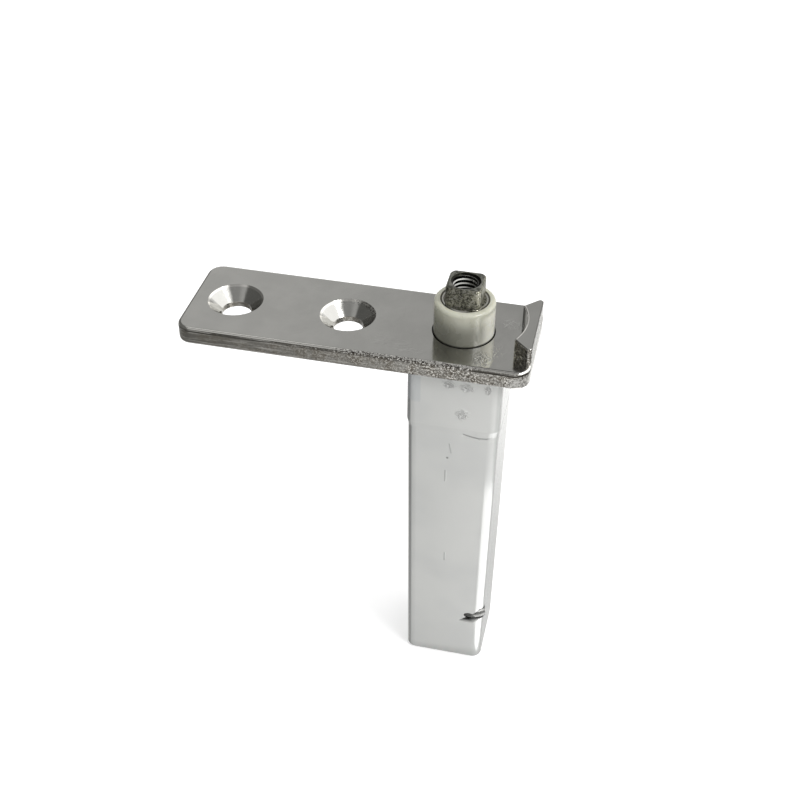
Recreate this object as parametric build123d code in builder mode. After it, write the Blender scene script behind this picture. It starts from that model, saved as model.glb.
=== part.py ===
from build123d import *
from math import acos, atan2, cos, degrees, floor, hypot, pi, radians, sin, sqrt, tan
import os

# Self-closing pivot hinge, millimetres.
# The origin is on the spindle's axis, level with the mounting plate's top face.
# +Z is up towards the square head, +X runs towards the stop lip, -Y is the side seen in front.

# Mounting plate
plate_length = 75.0
plate_width = 25.0
plate_thickness = 4.0
plate_corner_radius = 3.2
plate_edge_round = 0.7
plate_lower_round = 0.4
lip_end_to_spindle = 15.5

# Countersunk screw holes in the plate
plate_end_to_far_hole = 9.5
hole_spacing = 25.0
screw_hole_radius = 3.25
countersink_radius = 6.0
countersink_angle = 90.0

# Stop lip, scooped to clear what turns round the spindle
lip_height = 4.0
lip_inset = 0.1
scoop_radius = 13.05
scoop_half_span = 6.2
lip_end_angle = 45.0
lip_tip_round = 0.7
lip_edge_round = 0.3

# Cast boss under the plate, which carries the housing and both bushes
boss_width = 17.0
boss_depth = 16.0
boss_corner_radius = 1.2
bush_bore_radius = 5.6
bush_recess_depth = 0.4
bush_recess_gap = 0.3

# Snap ring that keeps the housing on the boss
snap_depth = 8.0
snap_width = 1.8
snap_height = 0.35
snap_clearance = 0.05

# Nylon bushes
collar_radius = 6.4
collar_height = 8.0
collar_rim_round = 0.8
collar_mouth_chamfer = 0.3
same_radius_within = 1e-6
upper_sleeve_length = 9.0
lower_sleeve_length = 8.0
lower_flange_radius = 6.15
lower_flange_thickness = 1.2
seat_clearance = 0.02

# Thrust washer between the lower bush and the spindle's flange
washer_radius = 6.0
washer_thickness = 0.8

# Spindle
journal_radius = 4.8
running_clearance = 0.05
axial_play = 0.15
head_across_flats = 7.5
head_corner_radius = 1.3
head_height = 4.4
head_chamfer = 0.35
collar_to_shoulder = 0.1
thread_minor_radius = 2.5
thread_mouth_radius = 3.1
thread_depth = 12.0
thread_mouth_angle = 90.0
flange_radius = 7.8
flange_thickness = 4.0
hub_radius = 3.9
hub_length = 8.0

# Stop between the spindle and the boss
opening_angle = 110.0
stop_lug_angle = 24.0
stop_lug_start = -32.0
stop_lug_drop = 2.0
stop_clearance_angle = 1.5
stop_radial_clearance = 0.35

# Torsion spring
wire_radius = 1.4
spring_mean_radius = 5.7
least_turn_gap = 0.1
coil_to_flange = 0.9
tail_height_above_bottom = 14.8
tail_bend_radius = 3.0
tail_bend_lead = 0.95
tail_end_length = 2.4
leg_bend_radius = 2.8
leg_lead_in = 0.05
leg_entry = 3.0
leg_clearance = 0.15

# Arbor that guides the spring, and its cross pin
arbor_radius = 3.7
arbor_end_radius = 2.4
arbor_socket_clearance = 0.02
arbor_spigot_length = 7.5
arbor_journal_length = 7.5
arbor_end_chamfer = 0.4
cross_pin_radius = 1.0
cross_pin_drop = 4.0

# Plastic housing
overall_height = 104.0
housing_collar_width = 20.3
housing_neck_width = 19.8
housing_bottom_width = 18.45
housing_wall = 1.6
housing_floor = 1.8
housing_corner_radius = 2.2
cavity_corner_radius = 1.0
housing_step_height = 1.6
housing_bottom_round = 0.5

# Slot at the housing's front corner, where the spring's tail comes out
# Its outline is given across the corner and above the tail's middle
slot_clearance = 0.25
slot_depth = 1.9
slot_tip = (-4.1, -2.2)
slot_heel = (-1.8, -2.3)
slot_toe = (-0.4, -0.95)
slot_crest = (-0.5, 2.5)
slot_right = 2.0

# Spring seat in the housing's foot
seat_gap = 0.15
seat_to_spring = 0.3
seat_bore_spare = 0.5
seat_edge_chamfer = 0.6

# How far a cut runs past the surface that it opens
cut_overrun = 1.0

# Heights worked out from the sizes above
boss_bottom = -plate_thickness - boss_depth
shoulder_height = collar_height - collar_to_shoulder
head_top = shoulder_height + head_height
housing_bottom = head_top - overall_height
lower_flange_bottom = boss_bottom - lower_flange_thickness
washer_bottom = lower_flange_bottom - washer_thickness
flange_top = washer_bottom - axial_play
flange_bottom = flange_top - flange_thickness
hub_bottom = flange_bottom - hub_length
snap_middle = -plate_thickness - snap_depth
floor_top = housing_bottom + housing_floor
tail_middle = housing_bottom + tail_height_above_bottom
seat_top = tail_middle - wire_radius - seat_to_spring
far_hole_x = lip_end_to_spindle - plate_length + plate_end_to_far_hole
near_hole_x = far_hole_x + hole_spacing
plate_middle_x = lip_end_to_spindle - plate_length / 2


def housing_width_at(height):
    """Outer width of the housing's tapered part at a height."""
    share = (height - housing_bottom) / (boss_bottom - housing_bottom)
    return housing_bottom_width + share * (housing_neck_width - housing_bottom_width)


def cavity_width_at(height):
    """Inner width of the housing's tapered part at a height."""
    return housing_width_at(height) - 2 * housing_wall


# The tail crosses the housing's front corner, flush with the corner's round edge.
# "Out" is the diagonal towards that corner and "across" is square to it.
corner_reach = housing_width_at(tail_middle) / 2 * sqrt(2) - housing_corner_radius * (sqrt(2) - 1)
tail_out = corner_reach - wire_radius
tail_corner_x = (tail_out - tail_bend_lead) / sqrt(2)
tail_corner_y = (-tail_out - tail_bend_lead) / sqrt(2)
tail_end_step = tail_end_length / sqrt(2)
tail_corner_distance = hypot(tail_out, tail_bend_lead)
tail_run = sqrt(tail_corner_distance**2 - spring_mean_radius**2)
coil_end_angle = degrees(
    atan2(tail_corner_y, tail_corner_x) - acos(spring_mean_radius / tail_corner_distance)
)

# As many whole turns as fit between the tail and the flange, spread over that height.
# The tail's own run falls at the same slope as the coil.
coil_top = flange_bottom - coil_to_flange - wire_radius
tail_run_turns = tail_run / (2 * pi * spring_mean_radius)
turns_that_fit = (coil_top - tail_middle) / (2 * wire_radius + least_turn_gap)
spring_turns = floor(turns_that_fit - tail_run_turns)
spring_pitch = (coil_top - tail_middle) / (spring_turns + tail_run_turns)
coil_slope = spring_pitch / (2 * pi * spring_mean_radius)
coil_bottom = tail_middle + tail_run_turns * spring_pitch
coil_height = spring_pitch * spring_turns
leg_offset = leg_bend_radius * tan((pi / 2 - atan2(coil_slope, 1)) / 2) + leg_lead_in
leg_top = flange_bottom + leg_entry
leg_distance = hypot(spring_mean_radius, leg_offset)
leg_angle = coil_end_angle - degrees(atan2(leg_offset, spring_mean_radius))

coil_end_x = spring_mean_radius * cos(radians(coil_end_angle))
coil_end_y = spring_mean_radius * sin(radians(coil_end_angle))
tail_points = [
    (coil_end_x, coil_end_y, coil_bottom),
    (tail_corner_x, tail_corner_y, tail_middle),
    (tail_corner_x + tail_end_step, tail_corner_y + tail_end_step, tail_middle),
]
tail_plane = Plane(
    origin=tail_points[0],
    z_dir=(Vector(*tail_points[1]) - Vector(*tail_points[0])).normalized(),
)
corner_plane = Plane(
    origin=(tail_out / sqrt(2), -tail_out / sqrt(2), tail_middle),
    x_dir=(1, 1, 0),
    z_dir=(1, -1, 0),
)


# Mounting plate: one chromed zinc casting with its lip, boss and stop lug
with BuildPart() as mounting_plate:
    with BuildSketch(Plane.XY.offset(-plate_thickness)):
        with Locations((plate_middle_x, 0)):
            RectangleRounded(plate_length, plate_width, plate_corner_radius)
    extrude(amount=plate_thickness)
    fillet(mounting_plate.faces().sort_by(Axis.Z)[-1].edges(), plate_edge_round)
    fillet(mounting_plate.faces().sort_by(Axis.Z)[0].edges(), plate_lower_round)

    # The lip stands on the plate's end, with both ends cut at an angle
    scoop_end_x = sqrt(scoop_radius**2 - scoop_half_span**2)
    lip_face_x = lip_end_to_spindle - lip_inset
    lip_depth = lip_face_x - scoop_end_x
    lip_half_span = scoop_half_span + lip_depth * tan(radians(lip_end_angle))
    with BuildSketch(Plane.XY.offset(-plate_thickness / 2)) as lip_outline:
        with BuildLine():
            Polyline(
                (scoop_end_x, scoop_half_span),
                (lip_face_x, lip_half_span),
                (lip_face_x, -lip_half_span),
                (scoop_end_x, -scoop_half_span),
            )
            ThreePointArc(
                (scoop_end_x, -scoop_half_span),
                (scoop_radius, 0),
                (scoop_end_x, scoop_half_span),
            )
        make_face()
        tips = lip_outline.vertices().group_by(Axis.X)[-1]
        fillet(tips, lip_tip_round)
    extrude(amount=plate_thickness / 2 + lip_height)
    fillet(mounting_plate.faces().sort_by(Axis.Z)[-1].edges(), lip_edge_round)

    # The boss hangs below, grooved for the housing's snap ring
    with BuildSketch(Plane.XY.offset(-plate_thickness)):
        RectangleRounded(boss_width, boss_width, boss_corner_radius)
    extrude(amount=-boss_depth)
    with BuildSketch(Plane.XY.offset(snap_middle - snap_width / 2)):
        RectangleRounded(boss_width, boss_width, boss_corner_radius)
        RectangleRounded(
            boss_width - 2 * snap_height,
            boss_width - 2 * snap_height,
            boss_corner_radius,
            mode=Mode.SUBTRACT,
        )
    extrude(amount=snap_width, mode=Mode.SUBTRACT)

    # The stop lug hangs from the boss, outside the thrust washer
    with BuildSketch(Plane.XY.offset(boss_bottom)):
        with BuildLine():
            lug_inner_radius = lower_flange_radius + stop_radial_clearance
            lug_outer_radius = flange_radius
            inner_arc = CenterArc((0, 0), lug_inner_radius, stop_lug_start, stop_lug_angle)
            outer_arc = CenterArc((0, 0), lug_outer_radius, stop_lug_start, stop_lug_angle)
            Line(inner_arc @ 0, outer_arc @ 0)
            Line(inner_arc @ 1, outer_arc @ 1)
        make_face()
    extrude(amount=flange_top - stop_lug_drop - boss_bottom)

    # Bore for both bushes, with the shallow seat of the upper one's collar
    with Locations((0, 0, 0)):
        CounterBoreHole(
            bush_bore_radius,
            collar_radius + bush_recess_gap,
            bush_recess_depth,
            depth=-boss_bottom,
        )
    with Locations((near_hole_x, 0, 0), (far_hole_x, 0, 0)):
        CounterSinkHole(
            screw_hole_radius,
            countersink_radius,
            depth=plate_thickness,
            counter_sink_angle=countersink_angle,
        )
mounting_plate.part.label = "mounting_plate"


# Upper bush: the visible cream collar and the sleeve that fills the top of the bore
bush_inner_radius = journal_radius + running_clearance
sleeve_radius = bush_bore_radius - seat_clearance
with BuildPart() as nylon_bushing:
    with BuildSketch(Plane.XY.offset(-bush_recess_depth)):
        Circle(collar_radius)
    extrude(amount=bush_recess_depth + collar_height)
    fillet(nylon_bushing.edges().sort_by(Axis.Z)[-1], collar_rim_round)
    # Inside the recess the collar's foot tapers, so its full width starts at the plate's face
    chamfer(nylon_bushing.edges().sort_by(Axis.Z)[0], bush_recess_depth)
    with BuildSketch(Plane.XY.offset(-bush_recess_depth)):
        Circle(sleeve_radius)
    extrude(amount=-upper_sleeve_length)
    with Locations((0, 0, collar_height)):
        Hole(bush_inner_radius, depth=collar_height + bush_recess_depth + upper_sleeve_length)
    rims = nylon_bushing.edges().filter_by(GeomType.CIRCLE)
    mouth = rims.filter_by(lambda rim: abs(rim.radius - bush_inner_radius) < same_radius_within)
    chamfer(mouth.sort_by(Axis.Z)[-1], collar_mouth_chamfer)
nylon_bushing.part.label = "nylon_bushing"


# Lower bush: a flanged sleeve pressed up into the boss
with BuildPart() as lower_bushing:
    with BuildSketch(Plane.XY.offset(lower_flange_bottom)):
        Circle(lower_flange_radius)
    extrude(amount=lower_flange_thickness)
    with BuildSketch(Plane.XY.offset(boss_bottom)):
        Circle(sleeve_radius)
    extrude(amount=lower_sleeve_length)
    with Locations((0, 0, boss_bottom + lower_sleeve_length)):
        Hole(bush_inner_radius, depth=lower_sleeve_length + lower_flange_thickness)
lower_bushing.part.label = "lower_bushing"


# Thrust washer: takes the pull of the screw in the spindle's head
with BuildPart() as thrust_washer:
    with BuildSketch(Plane.XY.offset(washer_bottom)):
        Circle(washer_radius)
        Circle(bush_inner_radius, mode=Mode.SUBTRACT)
    extrude(amount=washer_thickness)
thrust_washer.part.label = "thrust_washer"


# Spindle: square head, journal, flange and hub in one piece
with BuildPart() as spindle:
    with BuildSketch(Plane.XY.offset(hub_bottom)):
        Circle(hub_radius)
    extrude(amount=hub_length)
    with BuildSketch(Plane.XY.offset(flange_bottom)):
        Circle(flange_radius)
    extrude(amount=flange_thickness)
    with BuildSketch(Plane.XY.offset(flange_top)):
        Circle(journal_radius)
    extrude(amount=shoulder_height - flange_top)

    # The head is a square whose rounded corners stay within the journal
    with BuildSketch(Plane.XY.offset(shoulder_height)):
        RectangleRounded(head_across_flats, head_across_flats, head_corner_radius)
    extrude(amount=head_height)
    chamfer(spindle.faces().sort_by(Axis.Z)[-1].edges(), head_chamfer)

    # Tapped hole down the head, drawn at its core size
    with Locations((0, 0, head_top)):
        CounterSinkHole(
            thread_minor_radius,
            thread_mouth_radius,
            depth=thread_depth,
            counter_sink_angle=thread_mouth_angle,
        )

    # Sector cut in the flange's top, which the stop lug runs in
    sector_start = stop_lug_start - stop_clearance_angle
    sector_angle = opening_angle + stop_lug_angle + 2 * stop_clearance_angle
    with BuildSketch(Plane.XY.offset(flange_top)):
        with BuildLine():
            sector_inner_radius = lower_flange_radius
            sector_outer_radius = flange_radius + cut_overrun
            inner_arc = CenterArc((0, 0), sector_inner_radius, sector_start, sector_angle)
            outer_arc = CenterArc((0, 0), sector_outer_radius, sector_start, sector_angle)
            Line(inner_arc @ 0, outer_arc @ 0)
            Line(inner_arc @ 1, outer_arc @ 1)
        make_face()
    extrude(amount=-(stop_lug_drop + stop_radial_clearance), mode=Mode.SUBTRACT)

    # Slot in the flange's rim that holds the spring's upright leg
    leg_slot_radius = wire_radius + leg_clearance
    leg_slot_run = flange_radius + cut_overrun - leg_distance
    with BuildSketch(Plane.XY.offset(flange_bottom).rotated((0, 0, leg_angle))):
        with Locations((leg_distance, 0)):
            Circle(leg_slot_radius)
        with Locations((leg_distance + leg_slot_run / 2, 0)):
            Rectangle(leg_slot_run, 2 * leg_slot_radius)
    extrude(amount=leg_entry + leg_clearance, mode=Mode.SUBTRACT)

    # Socket for the arbor, and the cross pin's hole
    with BuildSketch(Plane.XY.offset(hub_bottom)):
        Circle(arbor_end_radius + arbor_socket_clearance)
    extrude(amount=arbor_spigot_length + arbor_end_chamfer, mode=Mode.SUBTRACT)
    with BuildSketch(Plane.XZ.offset(-hub_radius)):
        with Locations((0, hub_bottom + cross_pin_drop)):
            Circle(cross_pin_radius + arbor_socket_clearance)
    extrude(amount=2 * hub_radius, mode=Mode.SUBTRACT)
spindle.part.label = "spindle"


# Arbor: a turned rod inside the spring, pinned to the spindle and steadied by the seat
arbor_foot = seat_top + seat_to_spring
with BuildPart() as spring_arbor:
    with BuildSketch(Plane.XY.offset(hub_bottom)):
        Circle(arbor_end_radius)
    extrude(amount=arbor_spigot_length)
    chamfer(spring_arbor.edges().sort_by(Axis.Z)[-1], arbor_end_chamfer)
    with BuildSketch(Plane.XY.offset(hub_bottom)):
        Circle(arbor_radius)
    extrude(amount=arbor_foot - hub_bottom)
    with BuildSketch(Plane.XY.offset(arbor_foot)):
        Circle(arbor_end_radius)
    extrude(amount=-arbor_journal_length)
    chamfer(spring_arbor.edges().sort_by(Axis.Z)[0], arbor_end_chamfer)
    with BuildSketch(Plane.XZ.offset(-hub_radius)):
        with Locations((0, hub_bottom + cross_pin_drop)):
            Circle(cross_pin_radius + arbor_socket_clearance)
    extrude(amount=2 * hub_radius, mode=Mode.SUBTRACT)
spring_arbor.part.label = "spring_arbor"


# Cross pin: holds the arbor in the spindle's hub
cross_pin_length = 2 * sqrt(hub_radius**2 - cross_pin_radius**2)
with BuildPart() as cross_pin:
    with BuildSketch(Plane.XZ.offset(-cross_pin_length / 2)):
        with Locations((0, hub_bottom + cross_pin_drop)):
            Circle(cross_pin_radius)
    extrude(amount=cross_pin_length)
cross_pin.part.label = "cross_pin"


# Torsion spring: left-hand coil, a leg up into the flange and a tail out of the housing
coil_plane = Plane(
    origin=(0, 0, coil_bottom),
    x_dir=(cos(radians(coil_end_angle)), sin(radians(coil_end_angle)), 0),
    z_dir=(0, 0, 1),
)
leg_rise = leg_offset * coil_slope
with BuildPart() as torsion_spring:
    with BuildLine(coil_plane) as coil_path:
        Helix(spring_pitch, coil_height, spring_mean_radius, lefthand=True)
    # A Helix starts at the world's X, so it is turned to where the tail and the leg start.
    coil_wire = coil_path.line.rotate(Axis.Z, coil_end_angle)
    with BuildLine(coil_plane) as leg_path:
        FilletPolyline(
            (spring_mean_radius, 0, coil_height),
            (spring_mean_radius, -leg_offset, coil_height + leg_rise),
            (spring_mean_radius, -leg_offset, leg_top - coil_bottom),
            radius=leg_bend_radius,
        )
    with BuildLine() as tail_path:
        FilletPolyline(*tail_points, radius=tail_bend_radius)
    with BuildSketch(Plane(coil_wire @ 0, z_dir=coil_wire % 0)):
        Circle(wire_radius)
    sweep(path=coil_wire, is_frenet=True)
    with BuildSketch(Plane(leg_path.line @ 0, z_dir=leg_path.line % 0)):
        Circle(wire_radius)
    sweep(path=leg_path.line)
    with BuildSketch(tail_plane):
        Circle(wire_radius)
    sweep(path=tail_path.line)
torsion_spring.part.label = "torsion_spring"


# Housing: a closed tapered box whose collar grips the boss
collar_inner_width = boss_width + 2 * snap_clearance
with BuildPart() as housing:
    with BuildSketch(Plane.XY.offset(housing_bottom)):
        RectangleRounded(housing_bottom_width, housing_bottom_width, housing_corner_radius)
    with BuildSketch(Plane.XY.offset(boss_bottom)):
        RectangleRounded(housing_neck_width, housing_neck_width, housing_corner_radius)
    loft()
    fillet(housing.faces().sort_by(Axis.Z)[0].edges(), housing_bottom_round)
    with BuildSketch(Plane.XY.offset(boss_bottom)):
        RectangleRounded(housing_neck_width, housing_neck_width, housing_corner_radius)
    with BuildSketch(Plane.XY.offset(boss_bottom + housing_step_height)):
        RectangleRounded(housing_collar_width, housing_collar_width, housing_corner_radius)
    loft()
    with BuildSketch(Plane.XY.offset(boss_bottom + housing_step_height)):
        RectangleRounded(housing_collar_width, housing_collar_width, housing_corner_radius)
    extrude(amount=-plate_thickness - boss_bottom - housing_step_height)

    # The hollow: tapered below the boss, straight where the collar grips it
    for height in (floor_top, boss_bottom):
        with BuildSketch(Plane.XY.offset(height)):
            RectangleRounded(cavity_width_at(height), cavity_width_at(height), cavity_corner_radius)
    loft(mode=Mode.SUBTRACT)
    with BuildSketch(Plane.XY.offset(boss_bottom)):
        RectangleRounded(collar_inner_width, collar_inner_width, cavity_corner_radius)
    extrude(amount=boss_depth, mode=Mode.SUBTRACT)

    # Snap ring inside the collar, in the boss's groove
    ring_inner_width = boss_width - 2 * (snap_height - snap_clearance)
    with BuildSketch(Plane.XY.offset(snap_middle - snap_width / 2 + snap_clearance)):
        RectangleRounded(
            collar_inner_width + housing_wall,
            collar_inner_width + housing_wall,
            cavity_corner_radius,
        )
        RectangleRounded(
            ring_inner_width, ring_inner_width, boss_corner_radius, mode=Mode.SUBTRACT
        )
    extrude(amount=snap_width - 2 * snap_clearance)

    # Slot across the front corner: the wire's own way out, and the pointed notch round it
    with BuildSketch(tail_plane):
        Circle(wire_radius + slot_clearance)
    sweep(path=tail_path.line, mode=Mode.SUBTRACT)
    with BuildSketch(corner_plane.offset(-slot_depth)):
        slot_bottom = slot_toe[1]
        slot_top = slot_crest[1]
        Polygon(
            slot_tip,
            slot_heel,
            slot_toe,
            (slot_right, slot_bottom),
            (slot_right, slot_top),
            slot_crest,
            align=None,
        )
    extrude(amount=2 * slot_depth, mode=Mode.SUBTRACT)
housing.part.label = "housing"


# Spring seat: fills the housing's foot, with a blind bearing for the arbor
with BuildPart() as spring_seat:
    for height in (floor_top, seat_top):
        seat_width = cavity_width_at(height) - 2 * seat_gap
        with BuildSketch(Plane.XY.offset(height)):
            RectangleRounded(seat_width, seat_width, cavity_corner_radius)
    loft()
    chamfer(spring_seat.faces().sort_by(Axis.Z)[-1].edges(), seat_edge_chamfer)
    with BuildSketch(Plane.XY.offset(seat_top)):
        Circle(arbor_end_radius + running_clearance)
    seat_bore_depth = arbor_journal_length - seat_to_spring + seat_bore_spare
    extrude(amount=-seat_bore_depth, mode=Mode.SUBTRACT)
spring_seat.part.label = "spring_seat"


os.makedirs("parts", exist_ok=True)
for piece in (
    mounting_plate,
    nylon_bushing,
    lower_bushing,
    thrust_washer,
    spindle,
    spring_arbor,
    cross_pin,
    torsion_spring,
    housing,
    spring_seat,
):
    export_step(piece.part, f"parts/{piece.part.label}.step")
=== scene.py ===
"""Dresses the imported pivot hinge: a chromed casting, its nylon bush, square head, spring and housing."""

import logging
import math
from dataclasses import dataclass
from enum import Enum
from typing import Callable, Iterable, Union

import bpy
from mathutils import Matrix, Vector


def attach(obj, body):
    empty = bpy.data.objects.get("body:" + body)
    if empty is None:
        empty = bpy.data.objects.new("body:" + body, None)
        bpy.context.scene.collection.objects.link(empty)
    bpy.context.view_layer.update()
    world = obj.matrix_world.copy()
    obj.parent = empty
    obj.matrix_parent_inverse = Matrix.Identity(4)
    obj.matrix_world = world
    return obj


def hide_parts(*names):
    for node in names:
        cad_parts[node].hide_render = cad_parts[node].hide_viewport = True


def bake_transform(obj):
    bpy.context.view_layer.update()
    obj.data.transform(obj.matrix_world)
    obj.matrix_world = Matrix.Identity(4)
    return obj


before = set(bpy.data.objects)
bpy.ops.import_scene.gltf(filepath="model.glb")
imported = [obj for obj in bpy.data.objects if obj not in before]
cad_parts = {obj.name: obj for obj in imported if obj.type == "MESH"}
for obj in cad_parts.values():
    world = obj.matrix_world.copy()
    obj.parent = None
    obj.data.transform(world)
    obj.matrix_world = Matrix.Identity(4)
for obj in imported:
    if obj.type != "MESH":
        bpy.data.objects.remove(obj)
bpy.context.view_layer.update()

LOG = logging.getLogger("pivot_hinge")
MM = 0.001
Band = tuple[float, float]
Colour = tuple[float, float, float]
Place = tuple[float, float, float]
Socket = bpy.types.NodeSocket
Value = Union[float, Colour, Socket]


class Body(Enum):
    """Rigid bodies of the hinge's mechanism."""

    BASE = "base"
    SPINDLE = "turning_spindle"


class Slot(Enum):
    """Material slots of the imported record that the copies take."""

    DARK = "dark_cast_steel"
    SPRING = "spring_steel"


class Graph:
    """Adds nodes to a shader tree and joins them."""

    def __init__(self, tree: bpy.types.NodeTree) -> None:
        """Keeps the tree.

        Args:
            tree: the material's, world's or group's node tree.
        """
        self.tree = tree

    def put(self, socket: Socket, value: Value) -> None:
        """Links a socket to another, or gives it a plain value.

        Args:
            socket: the input.
            value: an output socket, a number or a colour.
        """
        if isinstance(value, bpy.types.NodeSocket):
            self.tree.links.new(value, socket)
        elif isinstance(value, tuple) and len(value) == 3 and socket.type == "RGBA":
            socket.default_value = (*value, 1.0)
        else:
            socket.default_value = value

    def node(self, kind: str, inputs: dict | None = None, **settings: object) -> bpy.types.Node:
        """Adds one node.

        Args:
            kind: Blender's class name for it, without the leading ShaderNode.
            inputs: values or sockets by input name or number.
            settings: attributes of the node.

        Returns:
            The node.
        """
        made = self.tree.nodes.new("ShaderNode" + kind)
        for name, value in settings.items():
            setattr(made, name, value)
        for name, value in (inputs or {}).items():
            self.put(made.inputs[name], value)
        return made

    def math(self, operation: str, a: Value, b: Value = 0.0, clamp: bool = False) -> Socket:
        """Returns a Math node's result."""
        return self.node("Math", {0: a, 1: b}, operation=operation, use_clamp=clamp).outputs[0]

    def times(self, a: Value, b: Value, clamp: bool = False) -> Socket:
        """Returns a product."""
        return self.math("MULTIPLY", a, b, clamp)

    def plus(self, a: Value, b: Value) -> Socket:
        """Returns a sum."""
        return self.math("ADD", a, b)

    def less(self, a: Value, b: Value, clamp: bool = False) -> Socket:
        """Returns a difference."""
        return self.math("SUBTRACT", a, b, clamp)

    def most(self, a: Value, b: Value) -> Socket:
        """Returns the larger of two values."""
        return self.math("MAXIMUM", a, b)

    def ramp(self, value: Value, low: Value, high: Value, a: float = 0.0, b: float = 1.0) -> Socket:
        """Maps a value smoothly from one range to another.

        Args:
            value: what is mapped.
            low: value that gives a.
            high: value that gives b.
            a: result at low and below.
            b: result at high and above.

        Returns:
            The mapped value.
        """
        inputs = {"Value": value, "From Min": low, "From Max": high, "To Min": a, "To Max": b}
        return self.node("MapRange", inputs, interpolation_type="SMOOTHSTEP").outputs[0]

    def fall(self, value: Value, low: Value, high: Value) -> Socket:
        """Maps a value smoothly from 1 at low and below to 0 at high and above."""
        return self.ramp(value, low, high, 1.0, 0.0)

    def mix(self, share: Value, a: Value, b: Value) -> Socket:
        """Returns a blend of two colours."""
        made = self.node("Mix", data_type="RGBA")
        self.put(made.inputs[0], share)
        self.put(made.inputs[6], a)
        self.put(made.inputs[7], b)
        return made.outputs[2]

    def noise(self, at: Socket, scale: Value, detail: float = 2.0, rough: float = 0.5) -> Socket:
        """Returns a noise pattern's value, from 0 to 1, at points in millimetres."""
        inputs = {"Vector": at, "Scale": scale, "Detail": detail, "Roughness": rough}
        return self.node("TexNoise", inputs).outputs[0]

    def place(self) -> Socket:
        """Returns the surface point in the part's frame, in millimetres."""
        at = self.node("TexCoord").outputs["Object"]
        return self.node("VectorMath", {0: at, "Scale": 1.0 / MM}, operation="SCALE").outputs[0]

    def vector(self, operation: str, a: Value, b: Value = (0.0, 0.0, 0.0), output: int = 0) -> Socket:
        """Returns a Vector Math node's result, a vector at output 0 and a number at output 1."""
        return self.node("VectorMath", {0: a, 1: b}, operation=operation).outputs[output]

    def axes(self, vector: Socket) -> tuple[Socket, Socket, Socket]:
        """Returns a vector's three numbers."""
        made = self.node("SeparateXYZ", {0: vector})
        return made.outputs[0], made.outputs[1], made.outputs[2]

    def join(self, x: Value, y: Value, z: Value = 0.0) -> Socket:
        """Returns a vector of three numbers."""
        return self.node("CombineXYZ", {0: x, 1: y, 2: z}).outputs[0]

    def bump(self, height: Value) -> Socket:
        """Returns the normal of a surface with this height in millimetres."""
        return self.node("Bump", {"Height": height, "Distance": MM, "Strength": 1.0}).outputs[0]

    def group(self, tree: bpy.types.NodeTree, inputs: dict) -> bpy.types.Node:
        """Places a shared group.

        Args:
            tree: the group.
            inputs: values or sockets by the group's input names.

        Returns:
            The group's node.
        """
        made = self.tree.nodes.new("ShaderNodeGroup")
        made.node_tree = tree
        for name, value in inputs.items():
            self.put(made.inputs[name], value)
        return made


def shared_group(name: str, inputs: dict[str, tuple[str, float]], outputs: Iterable[str],
                 fill: Callable[[Graph, dict, dict], None]) -> bpy.types.NodeTree:
    """Builds a shader group once.

    Args:
        name: the group's name.
        inputs: socket type and default by input name.
        outputs: names of the float outputs.
        fill: draws the inside, given the graph, the input sockets and the output sockets.

    Returns:
        The group.
    """
    tree = bpy.data.node_groups.get(name)
    if tree:
        return tree
    tree = bpy.data.node_groups.new(name, "ShaderNodeTree")
    for label, (kind, default) in inputs.items():
        made = tree.interface.new_socket(name=label, in_out="INPUT", socket_type=kind)
        if kind == "NodeSocketFloat":
            made.default_value = default
    for label in outputs:
        tree.interface.new_socket(name=label, in_out="OUTPUT", socket_type="NodeSocketFloat")
    start = tree.nodes.new("NodeGroupInput")
    end = tree.nodes.new("NodeGroupOutput")
    fill(Graph(tree), {s.name: s for s in start.outputs}, {s.name: s for s in end.inputs})
    return tree


def cast_grain() -> bpy.types.NodeTree:
    """Returns the pimpled skin of a casting, with masks of its pits and tips, where painted shade and painted
    glints go.
    """

    def fill(graph: Graph, given: dict, out: dict) -> None:
        coarse = graph.noise(given["Point"], given["Scale"], 2.0)
        fine = graph.noise(given["Point"], graph.times(given["Scale"], 2.3), 2.0, 0.6)
        both = graph.plus(graph.times(coarse, 0.45), graph.times(fine, 0.55))
        graph.put(out["Height"], graph.times(both, given["Amount"]))
        graph.put(out["Pits"], graph.times(graph.fall(both, 0.42, 0.50), given["Amount"]))
        graph.put(out["Tips"], graph.times(graph.ramp(both, 0.51, 0.59), given["Amount"]))

    return shared_group("cast_grain", {"Point": ("NodeSocketVector", 0), "Scale": ("NodeSocketFloat", 4.0),
                                       "Amount": ("NodeSocketFloat", 1.0)}, ("Height", "Pits", "Tips"), fill)


def ring_zone() -> bpy.types.NodeTree:
    """Returns the mask of a ring round the upright axis, between two radii and two heights."""

    def fill(graph: Graph, given: dict, out: dict) -> None:
        x, y, z = graph.axes(given["Point"])
        reach = graph.vector("LENGTH", graph.join(x, y), output=1)
        inside: Value = 1.0
        for value, low, high in ((reach, "Inner", "Outer"), (z, "Low", "High")):
            soft_low = graph.less(given[low], given["Soft"])
            soft_high = graph.plus(given[high], given["Soft"])
            rise = graph.ramp(value, soft_low, given[low])
            fall = graph.fall(value, given[high], soft_high)
            inside = graph.times(inside, graph.times(rise, fall))
        graph.put(out["Inside"], inside)

    sizes = {name: ("NodeSocketFloat", 1.0) for name in ("Inner", "Outer", "Low", "High", "Soft")}
    return shared_group("ring_zone", {"Point": ("NodeSocketVector", 0), **sizes}, ("Inside",), fill)


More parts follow.
